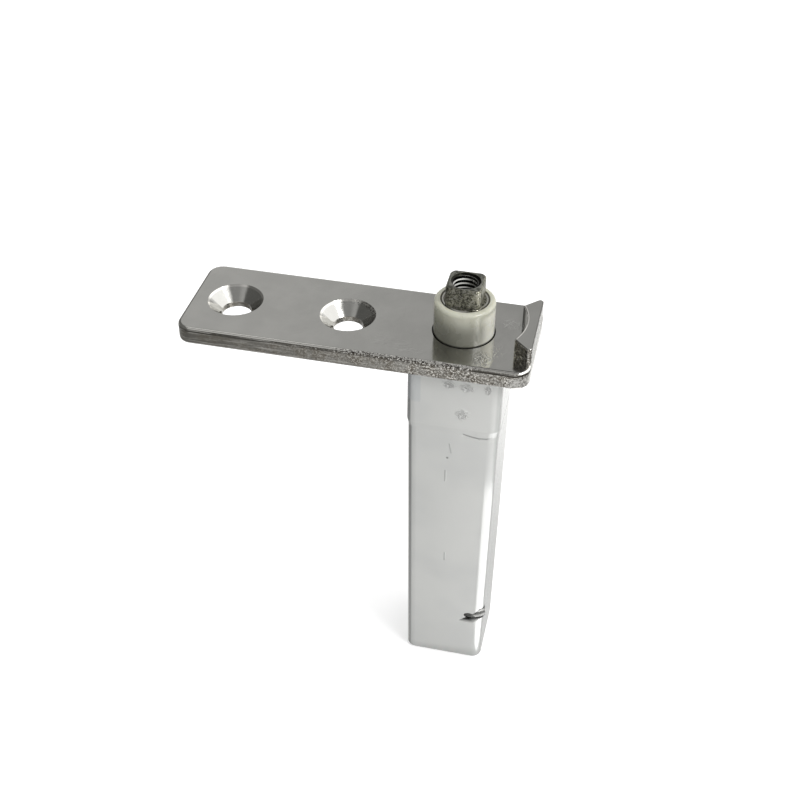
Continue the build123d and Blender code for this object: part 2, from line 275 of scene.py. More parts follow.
def bead_line() -> bpy.types.NodeTree:
    """Returns how near a point is to a straight run, 1 on it and 0 beyond its width."""

    def fill(graph: Graph, given: dict, out: dict) -> None:
        off = graph.vector("SUBTRACT", given["Point"], given["Start"])
        along = graph.vector("DOT_PRODUCT", off, given["Run"], 1)
        whole = graph.vector("DOT_PRODUCT", given["Run"], given["Run"], 1)
        share = graph.math("DIVIDE", along, whole, clamp=True)
        nearest = graph.node("VectorMath", {0: given["Run"], "Scale": share}, operation="SCALE").outputs[0]
        away = graph.vector("DISTANCE", off, nearest, 1)
        graph.put(out["Inside"], graph.fall(away, 0.0, given["Width"]))

    places = {name: ("NodeSocketVector", 0) for name in ("Point", "Start", "Run")}
    return shared_group("bead_line", {**places, "Width": ("NodeSocketFloat", 0.4)}, ("Inside",), fill)


def surface_mark() -> bpy.types.NodeTree:
    """Returns a patch of fine wavy lines round one point, fading out at its edge."""

    def fill(graph: Graph, given: dict, out: dict) -> None:
        off = graph.vector("SUBTRACT", given["Point"], given["Centre"])
        scaled = graph.vector("DIVIDE", off, given["Size"])
        reach = graph.vector("LENGTH", scaled, output=1)
        inside = graph.fall(reach, 0.35, 1.0)
        waves = graph.node("TexNoise", {"Vector": scaled, "Scale": given["Waves"], "Detail": 1.0,
                                        "Distortion": 0.6}).outputs[0]
        off_line = graph.math("ABSOLUTE", graph.less(waves, 0.5))
        line = graph.times(graph.fall(off_line, 0.0, given["Line"]), inside)
        graph.put(out["Height"], graph.times(line, given["Amount"]))

    places = {name: ("NodeSocketVector", 0) for name in ("Point", "Centre", "Size")}
    values = {"Waves": 2.0, "Line": 0.07, "Amount": 1.0}
    sizes = {name: ("NodeSocketFloat", value) for name, value in values.items()}
    return shared_group("surface_mark", {**places, **sizes}, ("Height",), fill)


@dataclass(frozen=True)
class Mark:
    """One patch of fine wavy lines on a surface, in millimetres."""

    centre: Place
    size: Place
    waves: float
    amount: float
    line: float = 0.07


@dataclass(frozen=True)
class Bead:
    """One bead along a path on a surface, or a groove if its amount is negative, in millimetres."""

    path: tuple[Place, ...]
    width: float
    amount: float
    shade: float = 0.0

    def inside(self, graph: "Graph", point: Socket) -> Socket:
        """Returns how near a point is to the path.

        Args:
            graph: the material's graph.
            point: the point in millimetres.

        Returns:
            1 on the path, 0 beyond its width.
        """
        near: Value = 0.0
        for start, end in zip(self.path, self.path[1:]):
            run = tuple(b - a for a, b in zip(start, end))
            made = graph.group(bead_line(), {"Point": point, "Start": start, "Run": run, "Width": self.width})
            near = graph.most(near, made.outputs["Inside"])
        return near


@dataclass(frozen=True)
class Ring:
    """One ring round the spindle's axis, in millimetres."""

    inner: float
    outer: float
    low: float
    high: float
    soft: float = 0.06


@dataclass(frozen=True)
class Finish:
    """What every finish has: a name, a colour and a gloss."""

    name: str
    colour: Colour
    roughness: float

    def begin(self) -> tuple[bpy.types.Material, Graph, bpy.types.NodeInputs]:
        """Starts the material.

        Returns:
            The material, its graph and the inputs of its Principled BSDF.
        """
        material = bpy.data.materials.new(self.name)
        material.use_nodes = True
        graph = Graph(material.node_tree)
        given = material.node_tree.nodes["Principled BSDF"].inputs
        given["Base Color"].default_value = (*self.colour, 1.0)
        given["Roughness"].default_value = self.roughness
        material.diffuse_color = (*self.colour, 1.0)
        return material, graph, given


def relief(graph: Graph, point: Socket, marks: Iterable[Mark], beads: Iterable[Bead] = ()) -> Socket:
    """Adds up the heights of several marks and beads.

    Args:
        graph: the material's graph.
        point: the surface point in millimetres.
        marks: the wavy marks.
        beads: the beads and grooves.

    Returns:
        Their height.
    """
    total: Value = 0.0
    for mark in marks:
        made = graph.group(surface_mark(), {"Point": point, "Centre": mark.centre, "Size": mark.size,
                                            "Waves": mark.waves, "Line": mark.line, "Amount": mark.amount})
        total = graph.plus(total, made.outputs["Height"])
    for bead in beads:
        total = graph.plus(total, graph.times(bead.inside(graph, point), bead.amount))
    return total


def ring_mask(graph: Graph, point: Socket, ring: Ring) -> Socket:
    """Returns the mask of one ring.

    Args:
        graph: the material's graph.
        point: the surface point in millimetres.
        ring: the ring.

    Returns:
        1 inside it, 0 outside.
    """
    made = graph.group(ring_zone(), {"Point": point, "Inner": ring.inner, "Outer": ring.outer,
                                     "Low": ring.low, "High": ring.high, "Soft": ring.soft})
    return made.outputs["Inside"]


@dataclass(frozen=True)
class ChromedCasting(Finish):
    """Chrome over a ground top and as-cast sides, with painted shade and painted highlights. Bands of x, y
    and z are in millimetres.
    """

    ripple_scale: float = 0.22
    ripple_height: float = 0.05
    peel_scale: float = 1.1
    peel_height: float = 0.004
    grain_scale: float = 2.0
    grain_height: float = 0.07
    streak_scale: float = 1.3
    streak_height: float = 0.02
    smooth_to_rough: Band = (-52.0, -12.0)
    smooth_share: float = 0.16
    upright: Band = (0.3, 0.75)
    off_level: Band = (0.93, 0.99)
    rounding: tuple[float, float, float, float] = (0.84, 0.89, 0.985, 0.998)
    lip_foot: Band = (0.0, 0.2)
    sides: Band = (9.5, 11.0)
    far_end: Band = (-58.5, -57.5)
    lip_end: Band = (13.0, 14.0)
    scoop_front: Band = (-3.0, -1.0)
    sparkle_begins: Band = (-30.0, -18.0)
    sparkle_ends: Band = (4.0, 8.0)
    sparkle_foot: Band = (-0.9, -0.55)
    rim_light: Band = (-0.34, -0.08)
    # Heights of the painted shade line under the rim.
    rim_dark: Band = (-0.95, -0.5)
    foot_light: Band = (-3.9, -3.6)
    foot_light_ends: Band = (-40.0, -28.0)
    hem_shade_begins: Band = (1.0, 4.0)
    calm_begins: Band = (2.0, 6.0)
    # Bands of the painted highlight on the sides near the lip.
    pale_begins: Band = (9.5, 13.5)
    pale_below: Band = (-1.6, -1.1)
    # Bands of the painted shade on the lip's outer wall.
    lip_shade_across: Band = (15.1, 15.35)
    lip_shade_above: Band = (0.1, 0.5)
    strong_begins: Band = (-16.0, -4.0)
    # Painted shade in the grain's pits, and painted glints on its tips, rim lines and the scoop's edge.
    pit_shade: Colour = (0.085, 0.072, 0.058)
    glint: Colour = (0.95, 0.93, 0.89)
    # Painted shade on the upright sides.
    side_shade: Colour = (0.27, 0.25, 0.215)
    pale: Colour = (0.86, 0.85, 0.83)
    # Colour of the painted shade lines.
    line: Colour = (0.05, 0.047, 0.04)
    gap_shade: Colour = (0.03, 0.03, 0.028)
    scoop_wall: Ring = Ring(12.9, 13.25, 0.2, 3.7, 0.06)
    scoop_edge_glint: Ring = Ring(12.9, 13.4, 3.72, 4.1, 0.05)
    gap: Ring = Ring(0.0, 6.72, -0.5, -0.04, 0.03)
    marks: tuple[Mark, ...] = ()

    @staticmethod
    def rim(graph: Graph, z: Socket, side: Socket, band: Band) -> Socket:
        """Returns the mask of a line along the sides.

        Args:
            graph: the material's graph.
            z: height in millimetres.
            side: mask of where the line may run.
            band: heights of the line's foot and top.

        Returns:
            Its mask.
        """
        low, high = band
        within = graph.times(graph.ramp(z, low - 0.1, low), graph.fall(z, high, high + 0.1))
        return graph.times(within, graph.times(side, 0.75))

    def zones(self, graph: Graph, point: Socket) -> dict[str, Socket]:
        """Works out where the casting is rough, streaked and worn, and where its painted shade lines run.

        Args:
            graph: the material's graph.
            point: the surface point in millimetres.

        Returns:
            The masks by name.
        """
        x, y, z = graph.axes(point)
        upward = graph.math("ABSOLUTE", graph.axes(graph.node("NewGeometry").outputs["Normal"])[2])
        along = graph.ramp(x, *self.smooth_to_rough, self.smooth_share, 1.0)
        scoop = graph.times(ring_mask(graph, point, self.scoop_wall), graph.ramp(y, *self.scoop_front))
        side = graph.times(graph.fall(upward, *self.upright), graph.less(1.0, scoop))
        under_lip = graph.fall(z, *self.lip_foot)
        below_top = graph.times(graph.fall(upward, *self.off_level), under_lip)
        ends = graph.most(graph.fall(x, *self.far_end), graph.ramp(x, *self.lip_end))
        outside = graph.most(graph.ramp(graph.math("ABSOLUTE", y), *self.sides), ends)
        edge = graph.times(graph.ramp(x, *self.sparkle_begins), graph.fall(x, *self.sparkle_ends))
        edge = graph.times(edge, graph.times(below_top, graph.ramp(z, *self.sparkle_foot)))
        patches = graph.ramp(graph.noise(point, 0.42, 3.0, 0.6), 0.38, 0.62)
        worn = graph.times(along, graph.plus(0.6, graph.times(patches, 0.6)))
        share = graph.most(graph.times(side, worn), graph.times(edge, 1.3))
        # Painted shade line under the top's rim, darker towards the lip.
        rim_shade = graph.times(self.rim(graph, z, outside, self.rim_dark),
                                graph.ramp(x, 0.0, 5.0, 1.0, 1.3), clamp=True)
        # Painted shade line along the top's rounding, on its right part.
        hem_shade = graph.times(graph.ramp(upward, *self.rounding[:2]), graph.fall(upward, *self.rounding[2:]))
        hem_shade = graph.times(hem_shade, graph.times(graph.ramp(x, *self.hem_shade_begins), under_lip))
        calm = graph.most(hem_shade, graph.times(rim_shade, graph.ramp(x, *self.calm_begins)))
        share = graph.times(share, graph.less(1.0, calm, clamp=True))
        streaky = graph.times(side, graph.less(1.0, graph.times(along, 0.6)))
        return dict(side=side, below_top=below_top, outside=outside, edge=edge, patches=patches,
                    share=share, rim_shade=rim_shade, hem_shade=hem_shade, streaky=streaky)

    def tone(self, graph: Graph, point: Socket, zone: dict[str, Socket], grain: bpy.types.Node,
             streak: Socket) -> Socket:
        """Works out the casting's colour, with its painted shade and painted highlights.

        Args:
            graph: the material's graph.
            point: the surface point in millimetres.
            zone: the masks.
            grain: the cast skin's group.
            streak: the drawn lines' pattern.

        Returns:
            The colour.
        """
        x, _, z = graph.axes(point)
        cloud = graph.ramp(graph.noise(point, 0.12, 3.0), 0.35, 0.65)
        tone = graph.mix(cloud, tuple(0.93 * c for c in self.colour), self.colour)
        dull = graph.times(graph.fall(streak, 0.44, 0.56), graph.times(zone["streaky"], 0.9))
        streak_glint = graph.times(graph.ramp(streak, 0.56, 0.66), graph.times(zone["streaky"], 0.5))
        tone = graph.mix(dull, tone, tuple(0.3 * c for c in self.colour))
        # Painted shade on the upright sides, in patches.
        side_shade_share = graph.plus(0.45, graph.times(zone["patches"], 0.45))
        tone = graph.mix(graph.times(zone["side"], side_shade_share), tone, self.side_shade)
        # Painted highlight on the lower sides towards the lip's end.
        pale = graph.times(graph.ramp(x, *self.pale_begins, 0.0, 0.6), graph.fall(z, *self.pale_below))
        outer = graph.times(graph.ramp(x, *self.lip_shade_across), graph.ramp(z, *self.lip_shade_above))
        tone = graph.mix(graph.times(zone["side"], pale), tone, self.pale)
        # Painted shade lines along the top's rounding and on the lip's outer wall.
        tone = graph.mix(graph.most(zone["hem_shade"], outer), tone, self.line)
        # Painted highlight along the scoop's edge.
        tone = graph.mix(ring_mask(graph, point, self.scoop_edge_glint), tone, self.glint)
        # Painted shade line under the rim.
        tone = graph.mix(zone["rim_shade"], tone, self.line)
        # Painted highlight lines along the top's rim and along the sides' foot at the far end.
        foot = graph.times(self.rim(graph, z, zone["outside"], self.foot_light),
                           graph.ramp(x, *self.foot_light_ends, 0.8, 0.0))
        light = graph.most(foot, self.rim(graph, z, zone["below_top"], self.rim_light))
        tone = graph.mix(light, tone, self.glint)
        # Painted glints on grain tips and bright streaks, and painted shade in the pits, stronger towards the
        # lip end and along the top edge.
        strong = graph.most(graph.times(zone["edge"], 0.6), graph.ramp(x, *self.strong_begins, 0.0, 0.42))
        lit = graph.most(graph.times(grain.outputs["Tips"], graph.plus(strong, 0.4)), streak_glint)
        sunk = graph.times(grain.outputs["Pits"], graph.plus(strong, 0.4))
        tone = graph.mix(sunk, graph.mix(lit, tone, self.glint), self.pit_shade)
        # Painted shade in the recess round the bush's foot.
        return graph.mix(ring_mask(graph, point, self.gap), tone, self.gap_shade)

    def material(self) -> bpy.types.Material:
        """Returns the material."""
        made, graph, given = self.begin()
        given["Metallic"].default_value = 1.0
        point = graph.place()
        x, y, z = graph.axes(point)
        zone = self.zones(graph, point)
        sizes = {"Scale": self.grain_scale, "Amount": zone["share"]}
        grain = graph.group(cast_grain(), {"Point": point, **sizes})
        drawn = graph.join(graph.times(x, 0.13), y, graph.times(z, 2.3))
        streak = graph.noise(drawn, self.streak_scale, 3.0, 0.6)
        height = graph.times(graph.noise(point, self.ripple_scale, 2.0), self.ripple_height)
        for layer in (graph.times(graph.noise(point, self.peel_scale, 1.0), self.peel_height),
                      graph.times(grain.outputs["Height"], self.grain_height),
                      graph.times(graph.times(streak, zone["streaky"]), self.streak_height),
                      relief(graph, point, self.marks)):
            height = graph.plus(height, layer)
        graph.put(given["Normal"], graph.bump(height))
        graph.put(given["Base Color"], self.tone(graph, point, zone, grain, streak))
        smudge = graph.ramp(graph.noise(point, 0.6, 4.0, 0.7), 0.4, 0.75,
                            self.roughness, self.roughness + 0.07)
        graph.put(given["Roughness"], graph.plus(smudge, graph.times(zone["share"], 0.06)))
        return made


@dataclass(frozen=True)
class MouldedNylon(Finish):
    """Turned or moulded nylon with a faint bloom, painted shade low down and in rings, and a painted
    highlight on one side. Bands are in millimetres.
    """

    shade: Colour = (0.5, 0.49, 0.4)
    speckle: Colour = (0.85, 0.83, 0.74)
    # Colour of the painted shade in rings.
    ring_shade: Colour = (0.05, 0.048, 0.04)
    pale: Colour = (0.86, 0.85, 0.76)
    glow: float = 0.12
    glow_depth: float = 0.9
    glow_spread: Colour = (1.2, 1.0, 0.6)
    swirl_scale: float = 0.25
    # Strength and bands of the painted shade on the lower part.
    foot_shade: float = 0.0
    foot_shade_up_to: Band = (3.0, 8.0)
    foot_shade_across: Band = (-6.2, -3.0)
    # Bands of the painted highlight on the right side.
    lit_side: Band | None = None
    lit_side_up_to: Band = (6.0, 7.2)
    shade_rings: tuple[Ring, ...] = ()

    def material(self) -> bpy.types.Material:
        """Returns the material."""
        made, graph, given = self.begin()
        point = graph.place()
        swirl = graph.ramp(graph.noise(point, self.swirl_scale, 3.0), 0.35, 0.7)
        speck = graph.ramp(graph.noise(point, 3.5, 2.0, 0.7), 0.62, 0.72)
        tone = graph.mix(swirl, self.shade, self.colour)
        tone = graph.mix(graph.times(speck, 0.12), tone, self.speckle)
        if self.foot_shade or self.lit_side:
            x, _, z = graph.axes(point)
        # Painted shade on the lower part of the bush, weaker on the left.
        if self.foot_shade:
            low = graph.ramp(z, *self.foot_shade_up_to, self.foot_shade, 0.0)
            low = graph.times(low, graph.ramp(x, *self.foot_shade_across, 0.7, 1.0))
            tone = graph.mix(low, tone, tuple(0.18 * c for c in self.colour))
        # Painted highlight on the right side of the bush, fading towards its top.
        if self.lit_side:
            pale = graph.times(graph.ramp(x, *self.lit_side), graph.ramp(z, *self.lit_side_up_to, 0.8, 0.1))
            tone = graph.mix(pale, tone, self.pale)
        # Painted shade in rings: round the bush's foot and in the chamfer of its mouth.
        for ring in self.shade_rings:
            tone = graph.mix(graph.times(ring_mask(graph, point, ring), 0.85), tone, self.ring_shade)
        graph.put(given["Base Color"], tone)
        graph.put(given["Roughness"],
                  graph.ramp(swirl, 0.0, 1.0, self.roughness, self.roughness + 0.1))
        given["Subsurface Weight"].default_value = self.glow
        given["Subsurface Radius"].default_value = self.glow_spread
        given["Subsurface Scale"].default_value = self.glow_depth * MM
        turned = graph.times(graph.noise(point, 1.3, 2.0), 0.012)
        fine = graph.times(graph.noise(point, 9.0, 2.0), 0.0016)
        graph.put(given["Normal"], graph.bump(graph.plus(turned, fine)))
        return made


@dataclass(frozen=True)
class CastSteel(Finish):
    """Dark, rough cast steel with a ground top, a thread with painted highlights and shade, and a turned
    shoulder, in millimetres.
    """

    ground: Colour = (0.34, 0.34, 0.305)
    ground_dark: Colour = (0.15, 0.15, 0.13)
    pit_shade: Colour = (0.03, 0.03, 0.022)
    glint: Colour = (0.50, 0.49, 0.43)
    lit_crest: Colour = (0.92, 0.92, 0.88)
    shaded_root: Colour = (0.02, 0.02, 0.016)
    turned: Colour = (0.62, 0.61, 0.56)
    rust_gain: Colour = (2.0, 2.0, 1.9)
    crest_to_root: Band = (2.56, 2.74)
    bore_to_collar: Band = (3.3, 3.6)
    catches_from: Band = (-0.8, 1.2)
    catches_up_to: Band = (4.0, 10.0)
    ground_from: float = 11.9
    ground_soft: float = 0.2
    grain_scale: float = 1.7
    grain_height: float = 0.16
    bore: Ring = Ring(0.0, 3.2, 0.0, 12.25, 0.05)
    shoulder: Ring = Ring(4.5, 4.85, 7.6, 8.0, 0.08)

    def material(self) -> bpy.types.Material:
        """Returns the material."""
        made, graph, given = self.begin()
        given["Metallic"].default_value = 1.0
        point = graph.place()
        x, y, z = graph.axes(point)
        upward = graph.axes(graph.node("NewGeometry").outputs["True Normal"])[2]
        high = graph.ramp(z, self.ground_from, self.ground_from + self.ground_soft)
        top = graph.times(graph.ramp(upward, 0.85, 0.97), high)
        bore = ring_mask(graph, point, self.bore)
        bright = graph.most(bore, ring_mask(graph, point, self.shoulder))
        rough = graph.less(1.0, graph.most(top, bright))
        grain = graph.group(cast_grain(), {"Point": point, "Scale": self.grain_scale, "Amount": rough})
        height = graph.times(grain.outputs["Height"], self.grain_height)
        scour = graph.times(graph.noise(point, 1.6, 3.0), 0.02)
        graph.put(given["Normal"], graph.bump(graph.plus(height, scour)))
        rust = graph.ramp(graph.noise(point, 0.9, 3.0, 0.65), 0.4, 0.62)
        dark = graph.mix(rust, self.colour, tuple(c * s for c, s in zip(self.colour, self.rust_gain)))
        # Painted shade in the grain's pits and painted glints on its tips.
        dark = graph.mix(graph.times(grain.outputs["Pits"], 0.75), dark, self.pit_shade)
        dark = graph.mix(graph.times(grain.outputs["Tips"], 0.55), dark, self.glint)
        worn = graph.ramp(graph.noise(point, 1.1, 3.0), 0.42, 0.58)
        ground = graph.mix(worn, self.ground_dark, self.ground)
        reach = graph.vector("LENGTH", graph.join(x, y), output=1)
        # Painted highlights on the thread's crests, brighter on the left and higher up, over painted shade in
        # its roots; the lit crests are made less metallic.
        catching = graph.times(graph.ramp(x, *self.catches_from, 1.0, 0.3),
                               graph.ramp(z, *self.catches_up_to, 0.15, 1.0))
        lit_crest = graph.times(graph.fall(reach, *self.crest_to_root), catching)
        thread = graph.mix(lit_crest, self.shaded_root, self.lit_crest)
        polished = graph.mix(graph.ramp(reach, *self.bore_to_collar), thread, self.turned)
        graph.put(given["Base Color"], graph.mix(bright, graph.mix(top, dark, ground), polished))
        graph.put(given["Metallic"], graph.ramp(graph.times(bore, lit_crest), 0.0, 1.0, 1.0, 0.15))
        graph.put(given["Roughness"], graph.ramp(bright, 0.0, 1.0, self.roughness, 0.2))
        return made


@dataclass(frozen=True)
class BrightSteel(Finish):
    """Drawn or turned steel with fine lines round its axis."""

    line_scale: float = 14.0
    line_height: float = 0.01

    def material(self) -> bpy.types.Material:
        """Returns the material."""
        made, graph, given = self.begin()
        given["Metallic"].default_value = 1.0
        point = graph.place()
        _, _, z = graph.axes(point)
        draw = graph.noise(graph.join(0.0, 0.0, z), self.line_scale, 2.0)
        skin = graph.noise(point, 2.0, 3.0)
        height = graph.times(graph.plus(draw, skin), self.line_height)
        graph.put(given["Normal"], graph.bump(height))
        tone = graph.mix(graph.ramp(skin, 0.3, 0.7), tuple(0.72 * c for c in self.colour), self.colour)
        graph.put(given["Base Color"], tone)
        graph.put(given["Roughness"],
                  graph.ramp(skin, 0.3, 0.75, self.roughness, self.roughness + 0.12))
        return made


@dataclass(frozen=True)
class Taper:
    """The housing's outside, in millimetres: half widths at its foot, neck and collar."""

    foot: float = -91.7
    neck: float = -20.0
    half_at_foot: float = 9.225
    half_at_neck: float = 9.9
    step: float = 0.25
    step_height: float = 1.6
    corner: float = 2.2

    def half(self, graph: Graph, z: Socket) -> Socket:
        """Returns the half width at a height."""
        share = graph.node("MapRange", {"Value": z, "From Min": self.foot, "From Max": self.neck,
                                        "To Min": self.half_at_foot, "To Max": self.half_at_neck}).outputs[0]
        return graph.plus(share, graph.ramp(z, self.neck, self.neck + self.step_height, 0.0, self.step))

    def depth(self, graph: Graph, point: Socket) -> Socket:
        """Returns how far a point lies below the outside.

        Args:
            graph: the material's graph.
            point: the point in millimetres.

        Returns:
            The depth in millimetres.
        """
        x, y, z = graph.axes(point)
        middle = graph.less(self.half(graph, z), self.corner)
        over = [graph.less(graph.math("ABSOLUTE", a), middle) for a in (x, y)]
        out = [graph.most(a, 0.0) for a in over]
        round_part = graph.vector("LENGTH", graph.join(*out), output=1)
        flat_part = graph.math("MINIMUM", graph.most(over[0], over[1]), 0.0)
        return graph.less(self.corner, graph.plus(round_part, flat_part))


@dataclass(frozen=True)
class MouldedHousing(Finish):
    """Glossy, slightly cloudy pale plastic with marks of its mould and painted shade. Bands are in
    millimetres.
    """

    cool: Colour = (0.575, 0.582, 0.568)
    # The next two colours are painted shade, the second on the front left corner.
    shade_tone: Colour = (0.24, 0.25, 0.24)
    edge: Colour = (0.17, 0.175, 0.17)
    behind: Colour = (0.36, 0.40, 0.43)
    # Colour of the painted shade in the slot and along the beads.
    hollow_shade: Colour = (0.02, 0.02, 0.018)
    left_to_right: Band = (-1.0, 1.0)
    front_to_back: Band = (-2.0, 2.0)
    right_corner: Band = (0.1, 0.75)
    right_side: Band = (0.8, 2.6)
    left_corner: Band = (0.6, 1.35)
    left_side: Band = (2.0, 3.4)
    foot_height: float = 4.0
    leftwards: Band = (-6.0, 8.0)
    rightwards: Band = (8.9, 9.5)
    rightwards_up_to: Band = (-62.0, -14.0)
    boss_shows_from: Band = (-13.0, -12.0)
    boss_shows_across: Band = (-7.1, -6.8)
    wall_shows: Band = (0.1, 1.2)
    step_foot: Band = (-21.6, -21.0)
    step_top: Band = (-18.8, -18.2)
    step_across: Band = (5.0, 6.0)
    taper: Taper = Taper()
    marks: tuple[Mark, ...] = ()
    beads: tuple[Bead, ...] = ()

    def shading(self, graph: Graph, point: Socket, tone: Socket) -> Socket:
        """Paints shade on the plastic at its corners, foot and sides, and along its beads.

        Args:
            graph: the material's graph.
            point: the surface point in millimetres.
            tone: the plastic's own colour.

        Returns:
            The darkened colour.
        """
        x, y, z = graph.axes(point)
        half = self.taper.half(graph, z)
        in_x, in_y = (graph.less(half, graph.math("ABSOLUTE", a)) for a in (x, y))
        on_left = graph.fall(x, *self.left_to_right)
        in_front = graph.fall(y, *self.front_to_back)
        on_right = graph.less(1.0, on_left)
        # Painted shade along the rounded corners, darkest at the front left one.
        right = graph.ramp(in_x, *self.right_corner, 0.7, 0.0)
        right = graph.times(right, graph.fall(in_y, *self.right_side))
        left = graph.times(graph.fall(in_x, *self.left_corner), graph.fall(in_y, *self.left_side))
        left = graph.times(left, in_front)
        corners = graph.plus(graph.times(left, on_left), graph.times(right, on_right))
        # Painted shade on the foot and on the left and upper right sides.
        low = graph.times(graph.fall(z, self.taper.foot, self.taper.foot + self.foot_height), 0.4)
        sides = graph.most(graph.ramp(x, *self.leftwards, 0.14, 0.0),
                           graph.times(graph.ramp(x, *self.rightwards),
                                       graph.ramp(z, *self.rightwards_up_to, 0.0, 0.34)))
        shaded = graph.mix(graph.most(graph.most(corners, low), sides), tone, self.shade_tone)
        shaded = graph.mix(graph.times(left, on_left), shaded, self.edge)
        inner = graph.times(graph.ramp(z, *self.boss_shows_from), graph.fall(x, *self.boss_shows_across))
        shaded = graph.mix(graph.times(inner, 0.3), shaded, self.behind)
        # Painted shade along the beads.
        for bead in self.beads:
            shaded = graph.mix(graph.times(bead.inside(graph, point), bead.shade), shaded, self.hollow_shade)
        return shaded

    def material(self) -> bpy.types.Material:
        """Returns the material."""
        made, graph, given = self.begin()
        point = graph.place()
        x, _, z = graph.axes(point)
        cloud = graph.ramp(graph.noise(point, 0.07, 2.0), 0.35, 0.68)
        shaded = self.shading(graph, point, graph.mix(cloud, self.colour, self.cool))
        # Painted shade on the walls inside the slot.
        inside = graph.ramp(self.taper.depth(graph, point), *self.wall_shows)
        graph.put(given["Base Color"], graph.mix(inside, shaded, self.hollow_shade))
        flow = graph.times(graph.noise(point, 0.25, 1.0), 0.03)
        height = graph.plus(flow, relief(graph, point, self.marks, self.beads))
        graph.put(given["Normal"], graph.bump(height))
        graph.put(given["Roughness"],
                  graph.ramp(graph.noise(point, 0.5, 3.0), 0.4, 0.75, self.roughness, self.roughness + 0.05))
        step = graph.times(graph.ramp(z, *self.step_foot), graph.fall(z, *self.step_top))
        step = graph.times(step, graph.ramp(x, *self.step_across))
        graph.put(given["Coat Weight"], graph.less(1.0, step))
        given["Coat Roughness"].default_value = 0.05
        return made


class Bench:
    """The modelling operators that every piece uses."""

    @staticmethod
    def clear() -> None:
        """Deselects everything."""
        if bpy.context.mode != "OBJECT":
            bpy.ops.object.mode_set(mode="OBJECT")
        bpy.ops.object.select_all(action="DESELECT")

    @staticmethod
    def pick(piece: bpy.types.Object) -> bpy.types.Object:
        """Selects one piece alone and makes it active.

        Args:
            piece: the piece.

        Returns:
            The piece.
        """
        Bench.clear()
        piece.select_set(True)
        bpy.context.view_layer.objects.active = piece
        return piece

    @staticmethod
    def settle(piece: bpy.types.Object, name: str) -> bpy.types.Object:
        """Names a piece and moves its place into its mesh.

        Args:
            piece: the piece.
            name: its new name.

        Returns:
            The piece.
        """
        Bench.pick(piece)
        piece.name = name
        piece.data.name = name
        bpy.ops.object.transform_apply(location=True, rotation=True, scale=True)
        return piece

    @staticmethod
    def apply(piece: bpy.types.Object, kind: str, **settings: object) -> None:
        """Adds a modifier to a piece and applies it.

        Args:
            piece: the piece.
            kind: the modifier's type.
            settings: its attributes.
        """
        Bench.pick(piece)
        modifier = piece.modifiers.new(kind.lower(), kind)
        for name, value in settings.items():
            setattr(modifier, name, value)
        bpy.ops.object.modifier_apply(modifier=modifier.name)

    @staticmethod
    def copy_of(node: str, name: str) -> bpy.types.Object:
        """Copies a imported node's mesh into a new piece with its points merged.

        Args:
            node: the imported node.
            name: the new piece's name.

        Returns:
            The piece.
        """
        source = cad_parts[node]
        piece = bpy.data.objects.new(name, source.data.copy())
        bpy.context.scene.collection.objects.link(piece)
        piece.data.materials.clear()
        Bench.pick(piece)
        bpy.ops.object.mode_set(mode="EDIT")
        bpy.ops.mesh.select_all(action="SELECT")
        bpy.ops.mesh.remove_doubles(threshold=0.0005 * MM)
        bpy.ops.mesh.dissolve_limited(angle_limit=math.radians(0.4))
        bpy.ops.object.mode_set(mode="OBJECT")
        return piece

    @staticmethod
    def smooth(piece: bpy.types.Object, angle: float = 30.0) -> None:
        """Shades a piece smooth, except across edges sharper than an angle in degrees."""
        Bench.pick(piece)
        bpy.ops.object.shade_smooth_by_angle(angle=math.radians(angle))


def dress(piece: bpy.types.Object, material: bpy.types.Material) -> None:
    """Gives a piece one material.

    Args:
        piece: the piece.
        material: its material.
    """
    piece.data.materials.clear()
    piece.data.materials.append(material)


def dress_nodes(finishes: dict[str, Finish]) -> None:
    """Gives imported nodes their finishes.

    Args:
        finishes: the finish by the node's name.
    """
    for node, finish in finishes.items():
        dress(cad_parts[node], finish.material())


def mount(piece: bpy.types.Object, body: Body) -> None:
    """Makes a new piece ride on a body.

    Args:
        piece: the piece.
        body: what it moves with.
    """
    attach(piece, body.value)
    LOG.info("%s: %d faces, on %s", piece.name, len(piece.data.polygons), body.value)


@dataclass
class PlateCasting:
    """Chromed plate with its countersinks and stop lip."""

    node: str = "mounting_plate"

    def build(self) -> None:
        """Dresses the casting."""
        marks = (
            Mark((-14.5, -7.5, 0.0), (7.0, 2.4, 1.0), 2.0, 0.02),
            Mark((-9.5, -9.6, 0.0), (5.0, 1.6, 1.0), 2.2, 0.02),
            Mark((9.4, 4.2, 0.0), (3.2, 2.6, 1.0), 2.4, 0.04),
            Mark((5.2, -9.2, 0.0), (2.2, 3.4, 1.0), 3.6, 0.07),
            Mark((8.6, -6.0, 0.0), (2.6, 3.4, 1.0), 2.4, 0.015),
            Mark((-34.0, -9.0, 0.0), (12.0, 1.6, 1.0), 2.6, 0.006),
        )
        finish = ChromedCasting("chromed_casting", (0.62, 0.615, 0.59), 0.09, marks=marks)
        dress_nodes({self.node: finish})


